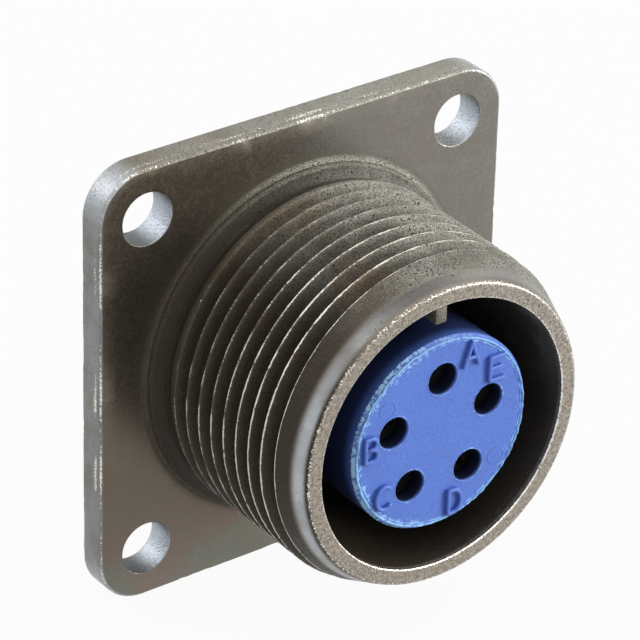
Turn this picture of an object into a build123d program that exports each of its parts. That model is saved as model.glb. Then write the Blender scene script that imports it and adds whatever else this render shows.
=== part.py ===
from build123d import *
import os
from math import cos, radians, sin

# Box-mounting receptacle of a threaded circular connector, five socket contacts.
# Millimetres. The origin is the centre of the flange's back face, which is the
# mounting face. The mating end faces -Y, +X is to the right of someone looking
# into it, and +Z points to the key. In the turned outlines below, a point is
# (radius, distance in front of the mounting face).

os.makedirs("parts", exist_ok=True)

# Flange
FLANGE_SIDE = 29.7
FLANGE_THICK = 2.0
FLANGE_CORNER_R = 3.1
FLANGE_EDGE = 0.2
HOLE_INSET = 3.35
HOLE_R = 1.72

# Collar and shallow relief at the foot of the barrel
COLLAR_FOOT = 0.47
COLLAR_STEP = 0.2
COLLAR_WALL = 0.51
COLLAR_LENGTH = 0.9
RELIEF_DEPTH = 0.2
RELIEF_LENGTH = 0.75

# Threaded barrel
BARREL_LENGTH = 14.41
THREAD_MAJOR_R = 11.05
THREAD_PITCH = 1.27
THREAD_DEPTH = 0.78
CREST_FLAT = 0.16
ROOT_FLAT = 0.32
NOSE_LENGTH = 2.8
RIM_R = 10.03
RIM_EDGE = 0.18
BORE_R = 8.92
BORE_EDGE = 0.12

# Key inside the mouth
KEY_WIDTH = 0.84
KEY_HEIGHT = 1.64
KEY_SETBACK = 0.72
KEY_ROUND = 0.12

# Inside of the shell, from the mounting face
WEB_FRONT = 4.4
WEB_THICK = 1.5
REAR_CAVITY_R = 8.4
REAR_WALL = 1.35
REAR_LIP = 0.7
REAR_EDGE = 0.3
GROOVE_DEPTH = 0.55

# Lug that sets the insulators straight in the shell
LUG_WIDTH = 1.6
LUG_HEIGHT = 0.7

# Insulators
INSERT_R = 6.43
INSERT_SETBACK = 0.37
INSERT_EDGE = 0.22
INSERT_FLANGE_THICK = 1.9
REAR_DISC_THICK = 2.2
REAR_STEP = 2.02
REAR_PLATFORM_HEIGHT = 1.5
SEAT_CLEARANCE = 0.08

# Washer and split ring that hold the insulators in
WASHER_THICK = 0.4
RING_THICK = 0.65
RING_WIDTH = 1.25
RING_GAP = 2.6
RING_PLAY = 0.04

# Contacts: a pin of PIN_R enters each one
CONTACT_COUNT = 5
CONTACT_CIRCLE_R = 3.69
FIRST_CONTACT_ANGLE = 90
PIN_R = 0.79
PIN_CLEARANCE = 0.02
ENTRY_R = 1.05
ENTRY_DEPTH = 1.4
ENTRY_DRAFT = 0.04
ENTRY_EDGE = 0.07
SOCKET_WALL = 0.3
SOCKET_DEPTH = 8.5
SOCKET_LEAD = 0.12
SLOT_WIDTH = 0.3
SLOT_LENGTH = 5.5
HOOD_WALL = 0.15
HOOD_PLAY = 0.02
HOOD_LIP = 0.2
HOOD_LENGTH = 6.6
HOOD_EYE_R = 1.0
HOOD_EDGE = 0.08
CAVITY_CLEARANCE = 0.06
CONTACT_COLLAR_R = 1.65
CONTACT_COLLAR_FRONT = 0.8
CONTACT_COLLAR_BACK = 0.5
STEM_R = 1.3
TAIL_LENGTH = 3.6
CUP_R = 0.9
CUP_DEPTH = 3.3
CUP_SCOOP = 1.5
TAIL_EDGE = 0.12

# Distances in front of the mounting face that follow from the sizes
rim = FLANGE_THICK + BARREL_LENGTH
collar_front = FLANGE_THICK + COLLAR_LENGTH
thread_start = collar_front + RELIEF_LENGTH
nose_start = rim - NOSE_LENGTH
nose_end = rim - RIM_EDGE
web_back = WEB_FRONT - WEB_THICK
insert_face = rim - INSERT_SETBACK
split_plane = web_back - INSERT_FLANGE_THICK
disc_back = split_plane - REAR_DISC_THICK
platform_back = disc_back - REAR_PLATFORM_HEIGHT
washer_back = disc_back - WASHER_THICK
ring_back = washer_back - RING_THICK
groove_back = ring_back - RING_PLAY
shell_back = groove_back - REAR_LIP
socket_front = insert_face - ENTRY_DEPTH
tail_end = platform_back - TAIL_LENGTH

# Radii and the hole spacing that follow from the sizes
hole_spacing = FLANGE_SIDE - 2 * HOLE_INSET
thread_root_r = THREAD_MAJOR_R - THREAD_DEPTH
relief_r = THREAD_MAJOR_R - RELIEF_DEPTH
collar_r = THREAD_MAJOR_R + COLLAR_WALL
boss_r = REAR_CAVITY_R + REAR_WALL
groove_r = REAR_CAVITY_R + GROOVE_DEPTH
web_hole_r = INSERT_R + SEAT_CLEARANCE
insert_flange_r = REAR_CAVITY_R - SEAT_CLEARANCE
platform_r = insert_flange_r - REAR_STEP
socket_bore_r = PIN_R + PIN_CLEARANCE
socket_r = socket_bore_r + SOCKET_WALL
hood_bore_r = socket_r + HOOD_PLAY
hood_r = hood_bore_r + HOOD_WALL
cavity_r = hood_r + CAVITY_CLEARANCE


def turned(*outline):
    """Turn a closed outline of points (radius, distance) round the connector's axis."""
    points = [(radius, -distance) for radius, distance in outline]
    return revolve(make_face(Polyline(*points, close=True)), Axis.Y)


def rod(radius, front, back, x=0.0, z=0.0):
    """A round bar along the connector, between two distances from the mounting face."""
    start = Plane((x, -front, z), z_dir=(0, 1, 0))
    return Solid.make_cylinder(radius, front - back, start)


def bar(width, front, back, low, high):
    """A square-edged bar across X = 0, between two distances and two heights."""
    middle = (0, -(front + back) / 2, (low + high) / 2)
    return Pos(*middle) * Box(width, front - back, high - low)


def contact_places():
    """The angle and the middle of each contact, counted anticlockwise from the key."""
    places = []
    for number in range(CONTACT_COUNT):
        angle = FIRST_CONTACT_ANGLE + number * 360 / CONTACT_COUNT
        x = CONTACT_CIRCLE_R * cos(radians(angle))
        z = CONTACT_CIRCLE_R * sin(radians(angle))
        places.append((angle, x, z))
    return places


def flange():
    """Square plate with rounded corners, eased edges and four holes."""
    plate = Box(FLANGE_SIDE, FLANGE_THICK, FLANGE_SIDE)
    plate = fillet(plate.edges().filter_by(Axis.Y), FLANGE_CORNER_R)
    faces = plate.faces().filter_by(Axis.Y)
    plate = chamfer(faces.edges(), FLANGE_EDGE)
    plate = Pos(0, -FLANGE_THICK / 2, 0) * plate
    half = hole_spacing / 2
    for x in (-half, half):
        for z in (-half, half):
            plate -= rod(HOLE_R, FLANGE_THICK + 1, -1, x, z)
    return plate


def thread_outline():
    """Points up and down each ridge of the coupling thread, from the relief to the nose."""
    flank = (THREAD_PITCH - CREST_FLAT - ROOT_FLAT) / 2
    ridges = max(1, round((nose_start - thread_start) / THREAD_PITCH))
    points = []
    for ridge in range(ridges):
        foot = thread_start + ridge * THREAD_PITCH + ROOT_FLAT / 2
        points.append((thread_root_r, foot))
        points.append((THREAD_MAJOR_R, foot + flank))
        points.append((THREAD_MAJOR_R, foot + flank + CREST_FLAT))
        points.append((thread_root_r, foot + 2 * flank + CREST_FLAT))
    points.append((thread_root_r, thread_start + ridges * THREAD_PITCH + ROOT_FLAT / 2))
    return points


def nose_shoulder(last_root):
    """Where the last thread flank runs out on the nose's taper, just in front of a root."""
    flank_slope = THREAD_DEPTH / ((THREAD_PITCH - CREST_FLAT - ROOT_FLAT) / 2)
    taper_slope = (THREAD_MAJOR_R - RIM_R) / (nose_end - nose_start)
    taper_r = THREAD_MAJOR_R - taper_slope * (last_root - nose_start)
    ahead = (taper_r - thread_root_r) / (flank_slope + taper_slope)
    return (thread_root_r + flank_slope * ahead, last_root + ahead)


def barrel():
    """The turned outside of the shell: rear boss, collar, relief, thread and tapered nose."""
    inside_flange = FLANGE_THICK / 2
    foot = [
        (0, shell_back),
        (boss_r - REAR_EDGE, shell_back),
        (boss_r, shell_back + REAR_EDGE),
        (boss_r, inside_flange),
        (collar_r + COLLAR_FOOT, inside_flange),
        (collar_r + COLLAR_FOOT, FLANGE_THICK),
        (collar_r, FLANGE_THICK + COLLAR_STEP),
        (THREAD_MAJOR_R, collar_front),
        (relief_r, collar_front + RELIEF_DEPTH),
        (relief_r, thread_start),
    ]
    thread = thread_outline()
    nose = [
        nose_shoulder(thread[-1][1]),
        (RIM_R, nose_end),
        (RIM_R - RIM_EDGE, rim),
        (0, rim),
    ]
    return turned(*foot, *thread, *nose)


def front_bore():
    """The deep ring-shaped space that the mating plug's shell enters."""
    return turned(
        (0, WEB_FRONT),
        (BORE_R, WEB_FRONT),
        (BORE_R, rim - BORE_EDGE),
        (BORE_R + BORE_EDGE, rim),
        (BORE_R + BORE_EDGE, rim + 1),
        (0, rim + 1),
    )


def rear_bore():
    """The rear cavity with the groove for the split ring."""
    return turned(
        (0, shell_back - 1),
        (REAR_CAVITY_R, shell_back - 1),
        (REAR_CAVITY_R, groove_back),
        (groove_r, groove_back),
        (groove_r, washer_back),
        (REAR_CAVITY_R, washer_back),
        (REAR_CAVITY_R, web_back),
        (0, web_back),
    )


def key():
    """The rib in the mouth that lets the plug in one way round."""
    low = BORE_R - KEY_HEIGHT
    rib = bar(KEY_WIDTH, rim - KEY_SETBACK, WEB_FRONT - WEB_THICK / 2, low, BORE_R + SEAT_CLEARANCE)
    lower = rib.edges().filter_by(Axis.Y).group_by(Axis.Z)[0]
    return fillet(lower, KEY_ROUND)


def lug(clearance=0.0):
    """The lug behind the web, or with a clearance the notch that goes round it."""
    low = REAR_CAVITY_R - LUG_HEIGHT - clearance
    high = REAR_CAVITY_R + REAR_WALL / 2
    return bar(LUG_WIDTH + 2 * clearance, web_back, split_plane - clearance, low, high)


def shell():
    """The whole metal body, cast and turned as one piece."""
    body = flange() + barrel()
    body -= front_bore()
    body -= rear_bore()
    body -= rod(web_hole_r, WEB_FRONT + 1, web_back - 1)
    return body + key() + lug()


def pin_entry(cavity_front):
    """Cutter for a pin's way in through the face: drafted as moulded holes are, its rim eased."""
    return turned(
        (0, cavity_front),
        (ENTRY_R - ENTRY_DRAFT, cavity_front),
        (ENTRY_R, insert_face - ENTRY_EDGE),
        (ENTRY_R + 1, insert_face - ENTRY_EDGE + 1),
        (0, insert_face - ENTRY_EDGE + 1),
    )


def front_insulator():
    """The insulator that shows in the mouth, with its flange behind the web."""
    body = turned(
        (0, split_plane),
        (insert_flange_r, split_plane),
        (insert_flange_r, web_back),
        (INSERT_R, web_back),
        (INSERT_R, insert_face - INSERT_EDGE),
        (INSERT_R - INSERT_EDGE, insert_face),
        (0, insert_face),
    )
    body -= lug(SEAT_CLEARANCE)
    cavity_front = socket_front + HOOD_LIP + CAVITY_CLEARANCE
    for angle, x, z in contact_places():
        body -= Pos(x, 0, z) * pin_entry(cavity_front)
        body -= rod(cavity_r, cavity_front, split_plane - 1, x, z)
        recess = split_plane + CONTACT_COLLAR_FRONT
        body -= rod(CONTACT_COLLAR_R + CAVITY_CLEARANCE, recess, split_plane - 1, x, z)
    return body


def rear_insulator():
    """The disc behind the contacts' collars, with its raised middle."""
    body = turned(
        (0, platform_back),
        (platform_r - INSERT_EDGE, platform_back),
        (platform_r, platform_back + INSERT_EDGE),
        (platform_r, disc_back),
        (insert_flange_r, disc_back),
        (insert_flange_r, split_plane),
        (0, split_plane),
    )
    for angle, x, z in contact_places():
        body -= rod(STEM_R + CAVITY_CLEARANCE, split_plane + 1, platform_back - 1, x, z)
        recess = split_plane - CONTACT_COLLAR_BACK
        body -= rod(CONTACT_COLLAR_R + CAVITY_CLEARANCE, split_plane + 1, recess, x, z)
    return body


def backing_washer():
    """The flat washer between the rear insulator and the split ring."""
    outer = rod(insert_flange_r, disc_back, washer_back)
    return outer - rod(platform_r + SEAT_CLEARANCE, disc_back + 1, washer_back - 1)


def retaining_ring():
    """The flat split ring in the shell's rear groove, open at the bottom."""
    outer_r = groove_r - SEAT_CLEARANCE
    ring = rod(outer_r, washer_back, ring_back)
    ring -= rod(outer_r - RING_WIDTH, washer_back + 1, ring_back - 1)
    opening = bar(RING_GAP, washer_back + 1, ring_back - 1, -outer_r - 1, 0)
    return ring - opening


def socket_contact(angle, x, z):
    """A turned socket: slotted tines in front, a collar, and a solder cup behind."""
    bore_back = socket_front - SOCKET_DEPTH
    body = turned(
        (0, tail_end),
        (STEM_R - TAIL_EDGE, tail_end),
        (STEM_R, tail_end + TAIL_EDGE),
        (STEM_R, split_plane - CONTACT_COLLAR_BACK),
        (CONTACT_COLLAR_R, split_plane - CONTACT_COLLAR_BACK),
        (CONTACT_COLLAR_R, split_plane + CONTACT_COLLAR_FRONT),
        (socket_r, split_plane + CONTACT_COLLAR_FRONT),
        (socket_r, socket_front),
        (socket_bore_r + SOCKET_LEAD, socket_front),
        (socket_bore_r, socket_front - SOCKET_LEAD),
        (socket_bore_r, bore_back),
        (0, bore_back - socket_bore_r / 2),
    )
    body -= rod(CUP_R, tail_end + CUP_DEPTH, tail_end - 1)
    slot_back = socket_front - SLOT_LENGTH
    body -= bar(SLOT_WIDTH, socket_front + 1, slot_back, -socket_r - 1, socket_r + 1)
    scoop = bar(2 * STEM_R + 1, tail_end + CUP_SCOOP, tail_end - 1, 0, STEM_R + 1)
    body -= scoop
    return Pos(x, 0, z) * Rot(0, FIRST_CONTACT_ANGLE - angle, 0) * body


def contact_hood(x, z):
    """The thin sleeve over the tines, its front edge turned in to guide the pin."""
    front = socket_front + HOOD_LIP
    body = turned(
        (HOOD_EYE_R, front),
        (HOOD_EYE_R, socket_front),
        (hood_bore_r, socket_front),
        (hood_bore_r, socket_front - HOOD_LENGTH),
        (hood_r, socket_front - HOOD_LENGTH),
        (hood_r, front - HOOD_EDGE),
        (hood_r - HOOD_EDGE, front),
    )
    return Pos(x, 0, z) * body


def write(node, solid):
    """Write one piece under its node's name."""
    solid.label = node
    export_step(solid, f"parts/{node}.step")


def main():
    write("shell", shell())
    write("front_insulator", front_insulator())
    write("rear_insulator", rear_insulator())
    write("backing_washer", backing_washer())
    write("retaining_ring", retaining_ring())
    for letter, (angle, x, z) in zip("abcde", contact_places()):
        write(f"socket_contact_{letter}", socket_contact(angle, x, z))
        write(f"contact_hood_{letter}", contact_hood(x, z))


main()
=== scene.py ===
from math import pi, radians

import bmesh
import bpy
import numpy as np
from bpy.props import FloatProperty, FloatVectorProperty, PointerProperty
from mathutils import Matrix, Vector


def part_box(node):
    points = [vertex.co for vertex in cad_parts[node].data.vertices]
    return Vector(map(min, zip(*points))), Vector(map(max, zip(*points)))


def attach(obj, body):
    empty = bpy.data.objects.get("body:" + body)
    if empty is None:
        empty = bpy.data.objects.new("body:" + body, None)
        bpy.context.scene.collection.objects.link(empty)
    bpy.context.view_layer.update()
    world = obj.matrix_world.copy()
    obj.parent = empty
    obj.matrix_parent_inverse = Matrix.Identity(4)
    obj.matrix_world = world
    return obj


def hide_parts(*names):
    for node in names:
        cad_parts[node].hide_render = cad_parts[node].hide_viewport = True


# The looks of a box-mounting circular connector receptacle. Metres. The origin is
# the centre of the flange's back face, the mating end faces -Y and the key is up.
# A turned point is (radius, distance in front of the flange's back face), and an
# angle runs from +X towards +Z.

bl_info = {
    "name": "Receptacle looks",
    "version": (1, 0, 0),
    "blender": (4, 5, 0),
    "location": "3D View > Sidebar > Receptacle",
    "description": "Makes the finished surfaces of a box-mounting connector receptacle",
    "category": "Add Mesh",
}

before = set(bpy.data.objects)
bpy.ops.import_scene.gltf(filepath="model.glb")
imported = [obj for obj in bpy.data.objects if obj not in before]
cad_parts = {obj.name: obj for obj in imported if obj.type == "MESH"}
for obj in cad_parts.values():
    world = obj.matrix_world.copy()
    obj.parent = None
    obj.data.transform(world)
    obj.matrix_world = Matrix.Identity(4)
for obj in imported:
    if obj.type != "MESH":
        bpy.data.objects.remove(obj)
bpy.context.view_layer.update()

MM = 0.001
COLUMNS = 384
STEP = 2 * pi / COLUMNS
WELD = 2e-7
SHARP_ANGLE = radians(38)
ROUND_ROWS = 5

SHELL_LOW, SHELL_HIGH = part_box("shell")
INSERT_LOW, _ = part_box("front_insulator")
CONTACTS = [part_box(f"socket_contact_{letter}") for letter in "abcde"]
CONTACT_PLACES = [((low.x + high.x) / 2, (low.z + high.z) / 2) for low, high in CONTACTS]


def length(name, description, default):
    """A size in metres that a user may change."""
    return FloatProperty(
        name=name, description=description, default=default, unit="LENGTH", precision=5
    )


def bearing(name, description, degrees):
    """An angle that a user may change, its default given in degrees."""
    return FloatProperty(
        name=name, description=description, default=radians(degrees), subtype="ANGLE"
    )


def colour(name, description, default):
    """A linear colour that a user may change."""
    return FloatVectorProperty(
        name=name, description=description, default=default, subtype="COLOR", min=0, max=1
    )


class FlangeSizes(bpy.types.PropertyGroup):
    """Sizes of the square flange."""

    half_side: length("Half side", "Half of the flange's side", SHELL_HIGH.x)
    thickness: length("Thickness", "Front face to back face", 2.0 * MM)
    corner_radius: length("Corner radius", "Rounding of the four corners", 3.1 * MM)
    edge_radius: length("Edge radius", "Rounding of the plate's edges", 0.2 * MM)
    hole_inset: length("Hole inset", "Side of the plate to a hole's middle", 3.35 * MM)
    hole_radius: length("Hole radius", "Radius of the four holes", 1.72 * MM)
    hole_easing: length("Hole easing", "Rounding of the holes' rims", 0.1 * MM)


class BarrelSizes(bpy.types.PropertyGroup):
    """Sizes of the threaded barrel, its mouth and its rear boss."""

    rim: length("Rim", "Distance of the rim from the flange's back", -SHELL_LOW.y)
    foot_radius: length("Foot radius", "Where the barrel meets the flange", 12.03 * MM)
    collar_radius: length("Collar radius", "Collar in front of the flange", 11.56 * MM)
    collar_step: length("Collar step", "Height of the hollow at the foot", 0.2 * MM)
    collar_front: length("Collar front", "Front end of the collar", 2.9 * MM)
    relief_radius: length("Relief radius", "Plain stretch before the thread", 10.85 * MM)
    crest_radius: length("Crest radius", "Thread crests", 11.05 * MM)
    pitch: length("Pitch", "Distance from crest to crest", 1.27 * MM)
    thread_depth: length("Thread depth", "Crest to root", 0.78 * MM)
    crest_flat: length("Crest flat", "Width of a crest", 0.16 * MM)
    root_flat: length("Root flat", "Width of a root", 0.32 * MM)
    nose_start: length("Nose start", "Where the nose begins to taper", 13.61 * MM)
    nose_middle: length("Nose middle", "Where the taper eases", 14.9 * MM)
    nose_middle_radius: length("Nose middle radius", "Radius there", 10.54 * MM)
    rim_radius: length("Rim radius", "Radius at the end of the taper", 10.03 * MM)
    rim_edge: length("Rim edge", "Rounding of the rim's outer edge", 0.18 * MM)
    bore_radius: length("Bore radius", "Inside of the mouth", 8.92 * MM)
    bore_edge: length("Bore edge", "Rounding of the mouth's edge", 0.12 * MM)
    web_front: length("Web front", "Floor of the mouth", 4.4 * MM)
    web_back: length("Web back", "Back of the web", 2.9 * MM)
    web_hole_radius: length("Web hole", "Hole that holds the insulator", 6.51 * MM)
    cavity_radius: length("Rear cavity", "Radius of the rear cavity", 8.4 * MM)
    groove_radius: length("Groove radius", "Groove of the split ring", 8.95 * MM)
    groove_front: length("Groove front", "Behind the flange's back", 1.6 * MM)
    groove_back: length("Groove back", "Behind the flange's back", 2.29 * MM)
    boss_radius: length("Boss radius", "Rear boss", 9.75 * MM)
    boss_edge: length("Boss edge", "Rounding of the boss's end", 0.3 * MM)
    boss_back: length("Boss back", "Behind the flange's back", SHELL_HIGH.y)


class KeySizes(bpy.types.PropertyGroup):
    """Sizes of the key in the mouth and of the lug behind the web."""

    key_width: length("Key width", "Side to side", 0.84 * MM)
    key_height: length("Key height", "How far it stands into the mouth", 1.64 * MM)
    key_setback: length("Key setback", "Rim to the key's front", 0.72 * MM)
    key_round: length("Key rounding", "Rounding of the key's edges", 0.12 * MM)
    lug_width: length("Lug width", "Side to side", 1.6 * MM)
    lug_height: length("Lug height", "How far it stands into the cavity", 0.7 * MM)
    lug_back: length("Lug back", "Distance of the lug's back end", 1.0 * MM)


class MarkSizes(bpy.types.PropertyGroup):
    """Sizes of the raised marks and moulding lines on the insulator's face."""

    face: length("Face", "Distance of the insulator's face", -INSERT_LOW.y)
    radius: length("Radius", "Outer radius of the insulator's nose", 6.43 * MM)
    stroke: length("Stroke", "Width of a letter's stroke", 0.28 * MM)
    relief: length("Relief", "Height of the letters", 0.28 * MM)
    letter_height: length("Letter height", "Height of a position letter", 1.85 * MM)
    entry_radius: length("Entry radius", "Radius of the five pin entries", 1.05 * MM)


class StageSizes(bpy.types.PropertyGroup):
    """The camera and the floor."""

    azimuth: bearing("Azimuth", "Camera round the object", -36.802)
    elevation: bearing("Elevation", "Camera above the horizon", 29.963)
    roll: bearing("Roll", "Camera about its own axis", 1.545)
    distance: length("Distance", "Camera to the object's origin", 268.74 * MM)
    slide: length("Slide", "Camera moved to its right", 2.289 * MM)
    lift: length("Lift", "Camera moved up", 0.073 * MM)
    focal_length: FloatProperty(
        name="Focal length", description="Lens in millimetres", default=244.49, min=1
    )
    drop: length("Drop", "Floor below the flange", 0.02 * MM)


class FinishColours(bpy.types.PropertyGroup):
    """Colours of the metals and the plastic, linear."""

    plating: colour("Plating", "Olive plating on flat faces", (0.158, 0.142, 0.112))
    plating_brown: colour("Brown plating", "Warmer patches", (0.152, 0.126, 0.098))
    plating_grey: colour("Grey plating", "Paler worn patches", (0.27, 0.265, 0.24))
    bare: colour("Bare metal", "Metal on worn edges", (0.8, 0.77, 0.68))
    plastic: colour("Blue plastic", "Moulded insulators", (0.088, 0.18, 0.6))
    # The cut walls' colour is bare metal with a painted reflection of the white studio
    drilled: colour("Drilled metal", "Cut walls of the holes", (0.55, 0.6, 0.67))
    silver: colour("Contact plating", "Silvered contacts", (0.5, 0.48, 0.43))
    steel: colour("Steel", "Sleeves and washer", (0.3, 0.29, 0.27))
    # Sleeve steel painted dark as shade inside the sockets
    shaded_sleeve: colour("Sleeve steel", "Darkened sleeves over the sockets", (0.05, 0.047, 0.042))


def waves(angle, along, seed, turns, wavelength, terms=30):
    """Seeded ripple over angle and distance, about -1 to 1, the same after a whole turn.

    It is the sum of cosines of (whole number x angle + wave number x distance +
    phase), divided by the square root of half their count.
    """
    random = np.random.default_rng(seed)
    total = np.zeros(np.broadcast(angle, along).shape)
    for _ in range(terms):
        count = int(random.integers(turns[0], turns[1]))
        number = random.uniform(-1, 1) * 2 * pi / wavelength
        total += np.cos(count * angle + number * along + random.uniform(0, 2 * pi))
    return total / np.sqrt(terms / 2)


def smooth(value, low, high):
    """0 below low, 1 above high, and 3t squared less 2t cubed in between."""
    share = np.clip((value - low) / (high - low), 0, 1)
    return share * share * (3 - 2 * share)


def bell(value, centre, width):
    """A hump of height 1: e to the power of minus the squared distance in widths."""
    return np.exp(-(((value - centre) / width) ** 2))


def turned_points(radius, distance, angle):
    """Points at a radius and an angle round the connector's axis."""
    across, up = radius * np.cos(angle), radius * np.sin(angle)
    return np.stack(np.broadcast_arrays(across, -distance, up), -1)


def rounded(start, corner, end, radius):
    """Points of an arc that rounds the corner between two straight runs.

    The arc is drawn as a quadratic curve: (1-t) squared times the first point, plus
    2t(1-t) times the corner, plus t squared times the last.
    """
    start, corner, end = (np.array(p, float) for p in (start, corner, end))
    first = corner + (start - corner) / np.linalg.norm(start - corner) * radius
    last = corner + (end - corner) / np.linalg.norm(end - corner) * radius
    t = np.linspace(0, 1, ROUND_ROWS)[:, None]
    return (1 - t) ** 2 * first + 2 * t * (1 - t) * corner + t * t * last


class Patchwork:
    """Grids of points gathered into one closed mesh, with values kept at the points."""

    def __init__(self, *names):
        self.points, self.faces = [], []
        self.values = {name: [] for name in names}
        self.count = 0

    def grid(self, points, closed=False, **values):
        """Add a grid of rows and columns, each cell a quad.

        A closed grid joins its last column to its first.
        """
        rows, columns = points.shape[:2]
        index = np.arange(rows * columns).reshape(rows, columns) + self.count
        if closed:
            index = np.hstack([index, index[:, :1]])
        quads = np.stack([index[:-1, :-1], index[:-1, 1:], index[1:, 1:], index[1:, :-1]], -1)
        self.points.append(points.reshape(-1, 3))
        self.faces.append(quads.reshape(-1, 4))
        for name, parts in self.values.items():
            parts.append(np.broadcast_to(values.get(name, 0.0), (rows, columns)).reshape(-1))
        self.count += rows * columns

    def tube(self, rings, **values):
        """Add closed rings joined into a tube, with each end closed to its middle point."""
        ends = [np.broadcast_to(ring.mean(0), ring.shape) for ring in (rings[0], rings[-1])]
        self.grid(np.concatenate([ends[0][None], rings, ends[1][None]]), closed=True, **values)

    def piece(self, name, sharp=SHARP_ANGLE):
        """Weld the grids into one object on the root body, its normals outward.

        Edges that bend more than the sharp angle are shaded as creases.
        """
        mesh = bpy.data.meshes.new(name)
        points, faces = np.concatenate(self.points), np.concatenate(self.faces)
        mesh.from_pydata(points.tolist(), [], faces.tolist())
        for kept, parts in self.values.items():
            layer = mesh.attributes.new(kept, "FLOAT", "POINT")
            layer.data.foreach_set("value", np.concatenate(parts).astype(np.float32))
        work = bmesh.new()
        work.from_mesh(mesh)
        bmesh.ops.remove_doubles(work, verts=work.verts, dist=WELD)
        bmesh.ops.dissolve_degenerate(work, edges=work.edges, dist=WELD)
        bmesh.ops.recalc_face_normals(work, faces=work.faces)
        work.to_mesh(mesh)
        work.free()
        mesh.shade_smooth()
        mesh.set_sharp_from_angle(angle=sharp)
        made = bpy.data.objects.new(name, mesh)
        bpy.context.collection.objects.link(made)
        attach(made, "root")
        return made


# Values from 0 to 1 kept at the shell's points: bare metal, painted shade, cut wall
# with its painted reflection, shine, painted sheen on the nose's band and the
# flange's side, and the rim's golden face
SHELL_VALUES = ("wear", "hollow", "drilled", "polish", "pale", "burnish")

# The turned and threaded barrel

RING = np.arange(COLUMNS) * STEP
THREAD_START_ANGLE = radians(188)
FIRST_CREST = 4.28 * MM
LAST_GROOVE_TURN = 7.0
RUN_OUT_TURNS = 0.2
RUN_IN_START = -1.35
RUN_IN_TURNS = 1.2
PLAIN_BACK = 3.02 * MM
PLAIN_FRONT = 15.0 * MM
FIRST_RISE = (PLAIN_BACK + 0.2 * MM, PLAIN_BACK + 0.8 * MM)
CREST_SOFTNESS = 0.1
CREST_WEAR = 0.006 * MM
CREST_LINE = 0.1 * MM
TOUCHING = 0.01 * MM
# Rows from one crest to the next, as shares of the pitch
ROW_SHARES = (0, 0.04, 0.07, 0.1, 0.22, 0.35, 0.39, 0.5, 0.61, 0.65, 0.78, 0.9, 0.93, 0.96)

# Distances between which a finish sets in: painted shade in the relief and on the
# flanks, the nose's front band and its painted sheen
RELIEF_DARK = (3.35 * MM, 3.8 * MM)
FLANK_DARK = (0.04 * MM, 0.15 * MM)
NOSE_BAND = (15.05 * MM, 15.55 * MM)
NOSE_SHEEN = (15.1 * MM, 15.7 * MM)

# Directions round the barrel that steer painted light and shade, each with the half
# width of its hump: sheen on the nose's left and below, shade at its top, dimmer
# crest highlights, and the lit side of the rim's edge
NOSE_LEFT = (radians(176), radians(52))
NOSE_TOP = (radians(105), radians(32))
NOSE_BELOW = (radians(290), radians(35))
THREAD_DULL = (radians(68), radians(38))
EDGE_LIT = radians(60)

# Values on the rows of a rounded edge, from its start to its end; the shade values
# are painted shade in the creases, on the rim's edge and in the bore
FOOT_SHADE = 0.4
FOOT_HOLLOW_SHADE = (FOOT_SHADE, FOOT_SHADE, FOOT_SHADE, FOOT_SHADE, 1)
COLLAR_SHADE = (0.3, 0.3, 0.7, 1, 1)
RIM_EDGE_SHADE = (1, 0.9, 0.5, 0.1, 0)
EDGE_WEAR = (0.3, 0.45, 0.62, 0.6, 0.45)
EDGE_BURNISH = (0, 0, 0, 1, 1)
FACE_WEAR = 0.3
LIP_WEAR = (0.5, 0.8, 0.9, 0.8, 0.5)
BORE_SHADE = (0.8, 1, 1)


def nose_front(distance):
    """0 on the darkened back of the nose and 1 on its front band."""
    return smooth(distance, *NOSE_BAND)


def nose_shade(angle, distance):
    """Painted shade on the nose: the larger of its dark back and a hump at the top of its band."""
    front = nose_front(distance)
    return np.maximum(0.75 * (1 - front), front * 0.85 * bell(angle, *NOSE_TOP))


def nose_paleness(angle, distance):
    """How much painted reflection the nose's front band has.

    An even part, less a hump at the top, plus humps on the left and below, and all
    of it growing with the distance.
    """
    centre, width = NOSE_LEFT
    from_left = np.abs((angle - centre + pi) % (2 * pi) - pi)
    band = 0.2 - 0.18 * bell(angle, *NOSE_TOP) + 0.95 * bell(from_left, 0, width)
    return (band + 0.35 * bell(angle, *NOSE_BELOW)) * smooth(distance, *NOSE_SHEEN)


def soft_clamp(value, softness):
    """Value kept between 0 and 1, with each corner replaced by a parabola of that half width."""
    low = np.where(value < softness, (value + softness) ** 2 / (4 * softness), value)
    low = np.where(value < -softness, 0, low)
    high = np.where(value > 1 - softness, 1 - (1 - value + softness) ** 2 / (4 * softness), low)
    return np.where(value > 1 + softness, 1, high)


def nose_radius(distance, s):
    """Radius of the nose: straight runs from the crest to the taper's middle and to the rim."""
    places = (s.nose_start, s.nose_middle, s.rim - s.rim_edge)
    return np.interp(distance, places, (s.crest_radius, s.nose_middle_radius, s.rim_radius))


def groove_cut(distance, angle, turns, s):
    """The thread before the taper cuts it: radius, wave, depth and distance from a crest.

    The radius is the crest's, less the depth times a flat-topped wave of the phase.
    The depth grows over the first turn and runs out at the last.
    """
    phase = (distance - FIRST_CREST) / s.pitch - turns
    from_crest = np.abs(phase - np.round(phase)) * s.pitch
    flank = (s.pitch - s.crest_flat - s.root_flat) / 2
    wave = soft_clamp((from_crest - s.crest_flat / 2) / flank, CREST_SOFTNESS)
    groove = np.floor(phase) + turns
    depth = smooth(groove, RUN_IN_START, RUN_IN_START + RUN_IN_TURNS)
    depth = depth * (1 - smooth(groove, LAST_GROOVE_TURN, LAST_GROOVE_TURN + RUN_OUT_TURNS))
    nick = waves(angle, distance, 11, (60, 190), 0.5 * MM)
    rise = smooth(distance, *FIRST_RISE)
    crest = s.relief_radius + (s.crest_radius - s.relief_radius) * rise
    worn = smooth(distance, PLAIN_BACK, 2 * s.pitch + PLAIN_BACK)
    crest = crest - CREST_WEAR * (1 + nick) * worn
    return crest - s.thread_depth * wave * depth, wave, depth, from_crest


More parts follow.
